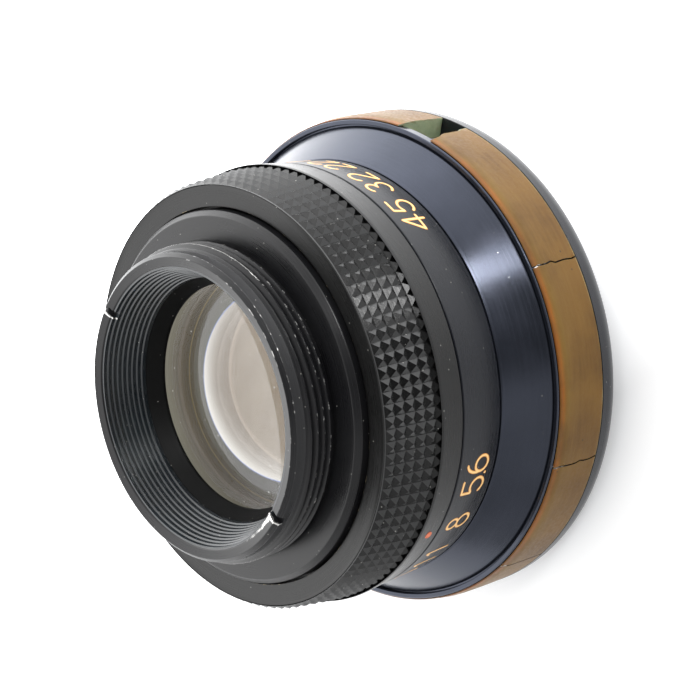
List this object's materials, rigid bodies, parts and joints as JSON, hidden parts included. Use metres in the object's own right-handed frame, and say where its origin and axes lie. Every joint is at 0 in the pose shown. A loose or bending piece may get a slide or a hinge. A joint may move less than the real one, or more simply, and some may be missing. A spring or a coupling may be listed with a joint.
{
  "type": "enlarger lens",
  "caption": "Darkroom enlarger lens with a screw mount, knurled grip ring, click-stopped flared aperture ring and a cracked luminous band.",
  "frame": {"origin": "on the optical axis, in the plane of the front rim that the lens stands on", "axes": "+Z along the optical axis towards the rear mount, which points up; the index dot faces -Y"},
  "size_m": [0.0644, 0.0644, 0.0426],
  "materials": {
    "black_anodised": "satin black anodised",
    "grey_anodised": "dark grey anodised, worn bright on the edges",
    "blue_black_anodised": "blue-black satin anodised",
    "crown_glass": "polished",
    "flint_glass": "polished",
    "blued_steel": "blued",
    "bright_steel": "bright",
    "brass": "blackened",
    "orange_paint": "paint",
    "aged_luminous_plastic": "yellowed, cracked"
  },
  "bodies": {
    "fixed_barrel": {"mount_barrel": "grey_anodised", "knurled_grip_ring": "black_anodised", "index_dot": "orange_paint", "main_barrel": "black_anodised", "rear_lens": "crown_glass", "rear_spacer": "black_anodised", "rear_doublet_outer": "crown_glass", "rear_doublet_inner": "flint_glass", "rear_retaining_ring": "black_anodised", "iris_retaining_ring": "black_anodised", "iris_base": "black_anodised", "iris_cover": "black_anodised", "front_barrel": "black_anodised", "front_doublet_inner": "flint_glass", "front_doublet_outer": "crown_glass", "front_spacer": "black_anodised", "front_lens": "crown_glass", "front_retaining_ring": "black_anodised", "front_trim_ring": "black_anodised", "control_retaining_ring": "black_anodised", "click_ball": "bright_steel", "click_spring": "bright_steel"},
    "control_ring": {"scale_ring": "blue_black_anodised", "flared_ring": "blue_black_anodised", "rim_ring": "blue_black_anodised", "drive_pin": "bright_steel", "iris_rotor": "brass", "luminous_band_1": "aged_luminous_plastic", "luminous_band_2": "aged_luminous_plastic", "luminous_band_3": "aged_luminous_plastic", "luminous_band_4": "aged_luminous_plastic"},
    "blade_01": {"iris_blade_01": "blued_steel"},
    "blade_02": {"iris_blade_02": "blued_steel"},
    "blade_03": {"iris_blade_03": "blued_steel"},
    "blade_04": {"iris_blade_04": "blued_steel"},
    "blade_05": {"iris_blade_05": "blued_steel"},
    "blade_06": {"iris_blade_06": "blued_steel"},
    "blade_07": {"iris_blade_07": "blued_steel"},
    "blade_08": {"iris_blade_08": "blued_steel"},
    "blade_09": {"iris_blade_09": "blued_steel"},
    "blade_10": {"iris_blade_10": "blued_steel"}
  },
  "joints": [
    {"name": "control_turn", "type": "hinge", "parent": "fixed_barrel", "child": "control_ring", "pos_m": [0, 0, 0.01985], "axis": [0, 0, 1], "range_deg": [-15, 75]},
    {"name": "blade_01_pivot", "type": "hinge", "parent": "fixed_barrel", "child": "blade_01", "pos_m": [0.018, 0, 0.01845], "axis": [0, 0, 1], "range_deg": [-5.52, 27.57]},
    {"name": "blade_02_pivot", "type": "hinge", "parent": "fixed_barrel", "child": "blade_02", "pos_m": [0.01456, 0.01058, 0.01845], "axis": [0, 0, 1], "range_deg": [-5.52, 27.57]},
    {"name": "blade_03_pivot", "type": "hinge", "parent": "fixed_barrel", "child": "blade_03", "pos_m": [0.00556, 0.01712, 0.01845], "axis": [0, 0, 1], "range_deg": [-5.52, 27.57]},
    {"name": "blade_04_pivot", "type": "hinge", "parent": "fixed_barrel", "child": "blade_04", "pos_m": [-0.00556, 0.01712, 0.01845], "axis": [0, 0, 1], "range_deg": [-5.52, 27.57]},
    {"name": "blade_05_pivot", "type": "hinge", "parent": "fixed_barrel", "child": "blade_05", "pos_m": [-0.01456, 0.01058, 0.01845], "axis": [0, 0, 1], "range_deg": [-5.52, 27.57]},
    {"name": "blade_06_pivot", "type": "hinge", "parent": "fixed_barrel", "child": "blade_06", "pos_m": [-0.018, 0, 0.01845], "axis": [0, 0, 1], "range_deg": [-5.52, 27.57]},
    {"name": "blade_07_pivot", "type": "hinge", "parent": "fixed_barrel", "child": "blade_07", "pos_m": [-0.01456, -0.01058, 0.01845], "axis": [0, 0, 1], "range_deg": [-5.52, 27.57]},
    {"name": "blade_08_pivot", "type": "hinge", "parent": "fixed_barrel", "child": "blade_08", "pos_m": [-0.00556, -0.01712, 0.01845], "axis": [0, 0, 1], "range_deg": [-5.52, 27.57]},
    {"name": "blade_09_pivot", "type": "hinge", "parent": "fixed_barrel", "child": "blade_09", "pos_m": [0.00556, -0.01712, 0.01845], "axis": [0, 0, 1], "range_deg": [-5.52, 27.57]},
    {"name": "blade_10_pivot", "type": "hinge", "parent": "fixed_barrel", "child": "blade_10", "pos_m": [0.01456, -0.01058, 0.01845], "axis": [0, 0, 1], "range_deg": [-5.52, 27.57]}
  ],
  "couplings": [
    {"joint": "blade_01_pivot", "follows": "control_turn", "ratio": 0.3675},
    {"joint": "blade_02_pivot", "follows": "control_turn", "ratio": 0.3675},
    {"joint": "blade_03_pivot", "follows": "control_turn", "ratio": 0.3675},
    {"joint": "blade_04_pivot", "follows": "control_turn", "ratio": 0.3675},
    {"joint": "blade_05_pivot", "follows": "control_turn", "ratio": 0.3675},
    {"joint": "blade_06_pivot", "follows": "control_turn", "ratio": 0.3675},
    {"joint": "blade_07_pivot", "follows": "control_turn", "ratio": 0.3675},
    {"joint": "blade_08_pivot", "follows": "control_turn", "ratio": 0.3675},
    {"joint": "blade_09_pivot", "follows": "control_turn", "ratio": 0.3675},
    {"joint": "blade_10_pivot", "follows": "control_turn", "ratio": 0.3675}
  ]
}
